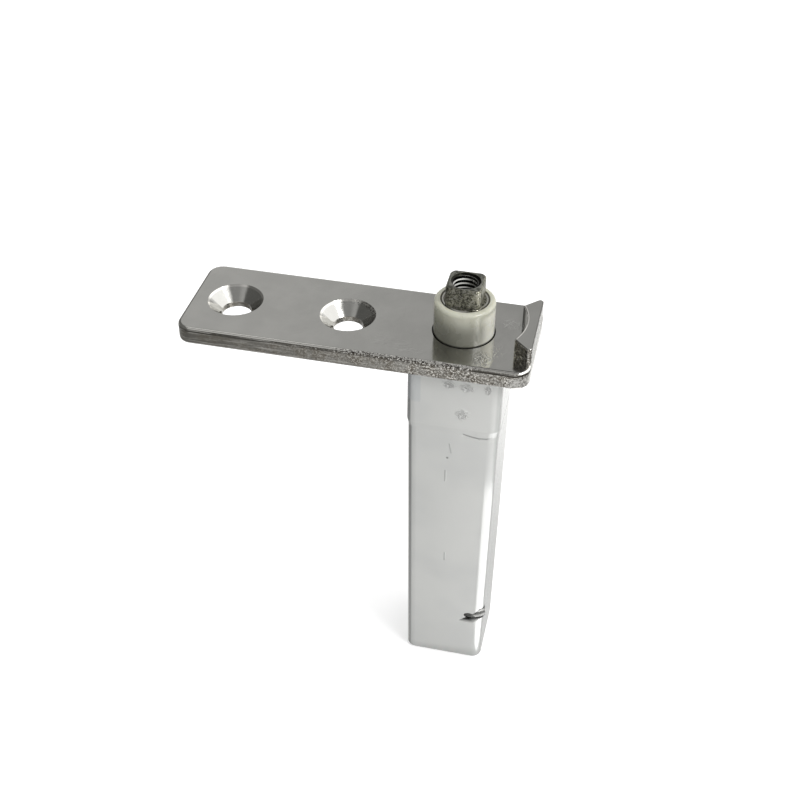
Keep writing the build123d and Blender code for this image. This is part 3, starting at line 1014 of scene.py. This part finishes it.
@dataclass
class Spindle:
    """Turning spindle with the thread down its square head, in millimetres."""

    node: str = "spindle"
    pitch: float = 1.0
    groove_middle: float = 2.45
    groove_depth: float = 0.6
    groove_half_width: float = 0.44
    thread_foot: float = 2.2
    turns: int = 11
    steps: int = 48

    def tap(self) -> bpy.types.Object:
        """Makes the cutter: a diamond section wound up the head's hole.

        Returns:
            The cutter.
        """
        Bench.clear()
        bpy.ops.mesh.primitive_circle_add(vertices=4, radius=MM, fill_type="NOTHING",
                                          location=(0, 0, 0), rotation=(math.pi / 2, 0, 0))
        cutter = Bench.settle(bpy.context.active_object, "thread_tap")
        bpy.ops.object.mode_set(mode="EDIT")
        bpy.ops.mesh.select_all(action="SELECT")
        bpy.ops.transform.resize(value=(self.groove_depth, 1.0, self.groove_half_width))
        bpy.ops.transform.translate(value=(self.groove_middle * MM, 0.0, self.thread_foot * MM))
        bpy.ops.object.mode_set(mode="OBJECT")
        Bench.apply(cutter, "SCREW", axis="Z", angle=2 * math.pi, screw_offset=self.pitch * MM,
                    iterations=self.turns, steps=self.steps, render_steps=self.steps)
        bpy.ops.object.mode_set(mode="EDIT")
        bpy.ops.mesh.select_all(action="SELECT")
        bpy.ops.mesh.remove_doubles(threshold=0.001 * MM)
        bpy.ops.mesh.fill_holes(sides=4)
        bpy.ops.mesh.select_all(action="SELECT")
        bpy.ops.mesh.normals_make_consistent(inside=False)
        bpy.ops.object.mode_set(mode="OBJECT")
        return cutter

    def build(self) -> None:
        """Cuts the thread into a copy of the spindle and dresses it."""
        piece = Bench.copy_of(self.node, "threaded_spindle")
        cutter = self.tap()
        Bench.apply(piece, "BOOLEAN", operation="DIFFERENCE", solver="EXACT", object=cutter)
        bpy.data.objects.remove(cutter)
        Bench.smooth(piece, 35.0)
        dress(piece, CastSteel("dark_cast_steel", (0.15, 0.147, 0.12), 0.42).material())
        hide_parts(self.node)
        mount(piece, Body.SPINDLE)


@dataclass
class Bushes:
    """Cream bush that shows and the white one under it, with their washer."""

    def build(self) -> None:
        """Dresses the bushes and the washer."""
        # Rings of painted shade round the bush's foot and in its mouth.
        bush_shade_rings = (Ring(0.0, 9.0, -0.4, 0.12, 0.3), Ring(0.0, 5.16, 7.5, 8.1, 0.03))
        dress_nodes({
            "nylon_bushing": MouldedNylon("cream_nylon", (0.50, 0.498, 0.415), 0.24, shade=(0.44, 0.44, 0.36),
                                          foot_shade=0.72, lit_side=(3.6, 6.2), shade_rings=bush_shade_rings),
            "lower_bushing": MouldedNylon("white_nylon", (0.80, 0.80, 0.77), 0.35, shade=(0.74, 0.74, 0.72)),
            "thrust_washer": BrightSteel("washer_steel", (0.58, 0.57, 0.55), 0.22),
        })


@dataclass
class SpringSet:
    """Torsion spring, with the arbor, pin and seat that guide it, in millimetres."""

    node: str = "torsion_spring"
    winds_from: float = -30.0
    winds_to: float = -74.7

    def build(self) -> None:
        """Copies the spring, shades it smooth, and dresses it and its guides."""
        wire = BrightSteel("spring_steel", (0.15, 0.15, 0.145), 0.2, line_scale=3.0, line_height=0.02)
        piece = Bench.copy_of(self.node, "wound_spring")
        Bench.smooth(piece, 40.0)
        dress(piece, wire.material())
        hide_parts(self.node)
        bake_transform(piece)
        dress_nodes({
            "spring_arbor": BrightSteel("arbor_steel", (0.55, 0.54, 0.52), 0.25),
            "cross_pin": BrightSteel("pin_steel", (0.60, 0.59, 0.57), 0.2, line_height=0.005),
            "spring_seat": MouldedNylon("seat_plastic", (0.10, 0.10, 0.095), 0.4, shade=(0.07, 0.07, 0.065)),
        })


@dataclass
class Housing:
    """Pale plastic box round the spring."""

    node: str = "housing"

    def build(self) -> None:
        """Dresses the housing."""
        marks = (
            Mark((-0.9, -10.15, -6.9), (1.9, 1.0, 1.4), 2.4, 0.28, 0.12),
            Mark((2.9, -10.15, -7.2), (2.1, 1.0, 1.5), 2.4, 0.28, 0.12),
            Mark((7.3, -10.15, -7.0), (1.0, 1.0, 1.5), 2.0, 0.28, 0.12),
            Mark((2.1, -10.15, -14.4), (1.9, 1.0, 1.8), 2.6, 0.28, 0.12),
        )
        crease = ((2.5, -9.9, -20.1), (4.0, -9.9, -20.5), (5.8, -9.9, -20.75), (7.5, -9.88, -20.6),
                  (8.6, -9.55, -20.1))
        # A line of painted shade runs just above the crease.
        above = tuple((x, y, z + 0.28) for x, y, z in crease)
        beads = (
            Bead(crease[:3], 0.42, -0.14),
            Bead(above, 0.3, 0.0, 0.55),
            Bead(((-0.8, -9.83, -27.2), (-0.8, -9.83, -27.25)), 0.4, -0.1, 0.8),
            Bead(((-0.35, -9.87, -23.2), (0.1, -9.85, -25.6)), 0.3, 0.09, 0.2),
            Bead(((-1.05, -9.79, -31.0), (-1.05, -9.76, -34.0)), 0.3, 0.09, 0.3),
            Bead(((-0.5, -9.55, -56.6), (-0.5, -9.53, -58.9)), 0.3, 0.09, 0.3),
        )
        finish = MouldedHousing("pale_plastic", (0.625, 0.63, 0.61), 0.18, marks=marks, beads=beads)
        dress_nodes({self.node: finish})


@dataclass
class Card:
    """Fan-shaped reflector card lying flat, in millimetres and degrees, that only gloss sees."""

    name: str
    apex: Place
    reach: float
    start: float
    end: float
    strength: float
    fade: float = 9.0
    soft: float = 2.0


@dataclass
class Studio:
    """Floor, soft light, reflector cards and the camera."""

    floor_height: float = -91.75
    floor_reach: float = 1.6
    lens: float = 56.336
    camera_at: Place = (32.665, -211.602, 151.994)
    camera_turn: Place = (51.3575, -0.4332, 12.6556)
    ambient: float = 0.14
    from_above: float = 0.95
    from_right: float = 0.5
    bands: tuple[Band, ...] = ((0.0, 0.85), (0.12, 0.56), (0.22, 0.53), (0.34, 0.47), (0.455, 0.38),
                               (0.475, 1.25), (0.505, 1.25), (0.525, 0.10), (0.60, 0.12), (0.66, 0.45),
                               (0.84, 0.50), (0.92, 0.10), (1.0, 0.10))
    dimmed_from: Band = (-0.33, 0.02)
    window_from: Band = (0.35, 0.6)
    window: Colour = (1.5, 1.5, 1.49)
    dark_up_to: Band = (-0.58, -0.40)
    dark: Colour = (0.12, 0.12, 0.115)
    floor_colour: Colour = (0.86, 0.86, 0.86)
    floor_lift: float = 0.3
    front_of_floor: Band = (-215.0, -70.0)
    under_part: Band = (-25.0, 10.0)
    back_of_floor: Band = (20.0, 120.0)
    left_of_floor: Band = (-140.0, 0.0)

    def camera(self) -> None:
        """Sets the camera where the part is looked at from."""
        data = bpy.data.cameras.new("camera")
        data.lens = self.lens
        data.sensor_width = 36.0
        data.clip_start = 0.01
        data.clip_end = 20.0
        camera = bpy.data.objects.new("camera", data)
        bpy.context.scene.collection.objects.link(camera)
        camera.location = Vector(self.camera_at) * MM
        camera.rotation_euler = [math.radians(a) for a in self.camera_turn]
        bpy.context.scene.camera = camera

    def world(self) -> None:
        """Paints what the lens and the gloss see round the part."""
        world = bpy.data.worlds.new("studio")
        bpy.context.scene.world = world
        world.use_nodes = True
        graph = Graph(world.node_tree)
        plain = world.node_tree.nodes["Background"]
        plain.inputs["Color"].default_value = (1.0, 1.0, 1.0, 1.0)
        way = graph.node("TexCoord").outputs["Generated"]
        x, y, z = graph.axes(way)
        above = graph.times(graph.ramp(z, 0.0, 1.0), self.from_above)
        beside = graph.times(graph.ramp(x, 0.1, 0.9), self.from_right)
        graph.put(plain.inputs["Strength"], graph.plus(self.ambient, graph.plus(above, beside)))
        turn = graph.math("DIVIDE", graph.math("ARCTAN2", z, y), math.pi)
        bands = graph.node("ValToRGB", {0: turn})
        stops = bands.color_ramp.elements
        while len(stops) < len(self.bands):
            stops.new(0.5)
        for stop, (at, grey) in zip(stops, self.bands):
            stop.position = at
            stop.color = (grey, grey, grey * 0.985, 1.0)
        shown = graph.mix(graph.ramp(x, *self.dimmed_from), bands.outputs[0],
                          graph.mix(0.30, bands.outputs[0], (0.0, 0.0, 0.0)))
        shown = graph.mix(graph.ramp(x, *self.window_from), shown, self.window)
        shown = graph.mix(graph.fall(x, *self.dark_up_to), shown, self.dark)
        gloss = graph.node("Background", {"Color": shown, "Strength": 1.0})
        white = graph.node("Background", {"Color": (1.0, 1.0, 1.0), "Strength": 1.0})
        rays = graph.node("LightPath")
        first = graph.node("MixShader", {0: rays.outputs["Is Glossy Ray"], 1: plain.outputs[0],
                                         2: gloss.outputs[0]})
        seen = graph.most(rays.outputs["Is Camera Ray"], rays.outputs["Is Transmission Ray"])
        last = graph.node("MixShader", {0: seen, 1: first.outputs[0], 2: white.outputs[0]})
        graph.put(world.node_tree.nodes["World Output"].inputs[0], last.outputs[0])

    def floor(self) -> None:
        """Lays the plain pale floor."""
        Bench.clear()
        bpy.ops.mesh.primitive_plane_add(size=2 * self.floor_reach, location=(0, 0, self.floor_height * MM))
        floor = Bench.settle(bpy.context.active_object, "floor")
        material = bpy.data.materials.new("floor")
        material.use_nodes = True
        graph = Graph(material.node_tree)
        shader = material.node_tree.nodes["Principled BSDF"]
        shader.inputs["Roughness"].default_value = 0.9
        shader.inputs["Base Color"].default_value = (*self.floor_colour, 1.0)
        rays = graph.node("LightPath")
        lift = graph.node("Emission", {"Color": (1.0, 1.0, 1.0), "Strength": self.floor_lift})
        both = graph.node("AddShader", {0: shader.outputs[0], 1: lift.outputs[0]})
        x, y, _ = graph.axes(graph.place())
        front = graph.ramp(y, *self.front_of_floor, 1.25, 0.12)
        under = graph.ramp(y, *self.under_part, 0.0, 0.6)
        back = graph.most(under, graph.ramp(y, *self.back_of_floor, 0.6, 1.1))
        grey = graph.times(graph.most(front, back), graph.ramp(x, *self.left_of_floor, 0.5, 1.0))
        dim = graph.node("Emission", {"Color": (1.0, 1.0, 0.985), "Strength": grey})
        eye = graph.node("MixShader", {0: rays.outputs["Is Camera Ray"], 1: shader.outputs[0],
                                       2: both.outputs[0]})
        last = graph.node("MixShader", {0: rays.outputs["Is Glossy Ray"], 1: eye.outputs[0],
                                        2: dim.outputs[0]})
        graph.put(material.node_tree.nodes["Material Output"].inputs[0], last.outputs[0])
        dress(floor, material)

    def card(self, card: Card) -> None:
        """Sets up one reflector card.

        Args:
            card: its place, size and strength.
        """
        Bench.clear()
        bpy.ops.mesh.primitive_plane_add(size=2 * card.reach * MM, location=Vector(card.apex) * MM)
        plane = Bench.settle(bpy.context.active_object, card.name)
        material = bpy.data.materials.new(card.name)
        material.use_nodes = True
        graph = Graph(material.node_tree)
        off = graph.vector("SUBTRACT", graph.place(), card.apex)
        x, y, _ = graph.axes(off)
        heading = graph.math("ARCTAN2", y, x)
        away = graph.vector("LENGTH", off, output=1)
        near = graph.fall(away, card.reach - card.fade, card.reach)
        soft = math.radians(card.soft)
        after = graph.ramp(heading, math.radians(card.start) - soft, math.radians(card.start) + soft)
        before = graph.fall(heading, math.radians(card.end) - soft, math.radians(card.end) + soft)
        fan = graph.times(near, graph.times(after, before))
        clear = graph.node("BsdfTransparent")
        glow = graph.node("Emission", {"Color": (1.0, 1.0, 1.0), "Strength": card.strength})
        both = graph.node("MixShader", {0: fan, 1: clear.outputs[0], 2: glow.outputs[0]})
        graph.put(material.node_tree.nodes["Material Output"].inputs[0], both.outputs[0])
        dress(plane, material)
        plane.visible_camera = False
        plane.visible_diffuse = False
        plane.visible_shadow = False
        plane.visible_transmission = False

    def lamp(self, name: str, at: Place, size: float, power: float, mirrored: bool = True) -> None:
        """Hangs one soft lamp that points at the middle of the part.

        Args:
            name: the lamp's name.
            at: its place in metres.
            size: its side in metres.
            power: its power in watts.
            mirrored: whether gloss shows it.
        """
        data = bpy.data.lights.new(name, "AREA")
        data.shape = "SQUARE"
        data.size = size
        data.energy = power
        lamp = bpy.data.objects.new(name, data)
        bpy.context.scene.collection.objects.link(lamp)
        lamp.location = at
        aim = Vector((0.0, 0.0, -0.03)) - Vector(at)
        lamp.rotation_euler = aim.to_track_quat("-Z", "Y").to_euler()
        lamp.visible_camera = False
        lamp.visible_glossy = mirrored

    def build(self) -> None:
        """Sets up the whole studio."""
        scene = bpy.context.scene
        scene.view_settings.view_transform = "Standard"
        self.camera()
        self.world()
        self.floor()
        self.card(Card("corner_card", (9.5, -9.5, self.floor_height + 0.6), 64.0, -82.0, 26.0, 4.0))
        self.lamp("key", (0.52, -0.26, 0.5), 0.3, 2.4)
        self.lamp("top", (-0.1, 0.15, 0.7), 0.4, 1.0, mirrored=False)


def main() -> None:
    """Builds the hinge in its own order, then the studio."""
    logging.basicConfig(level=logging.INFO, format="%(message)s")
    for part in (PlateCasting(), Bushes(), Spindle(), SpringSet(), Housing()):
        part.build()
        LOG.info("%s done", type(part).__name__)
    Studio().build()


if __name__ == "__main__":
    main()
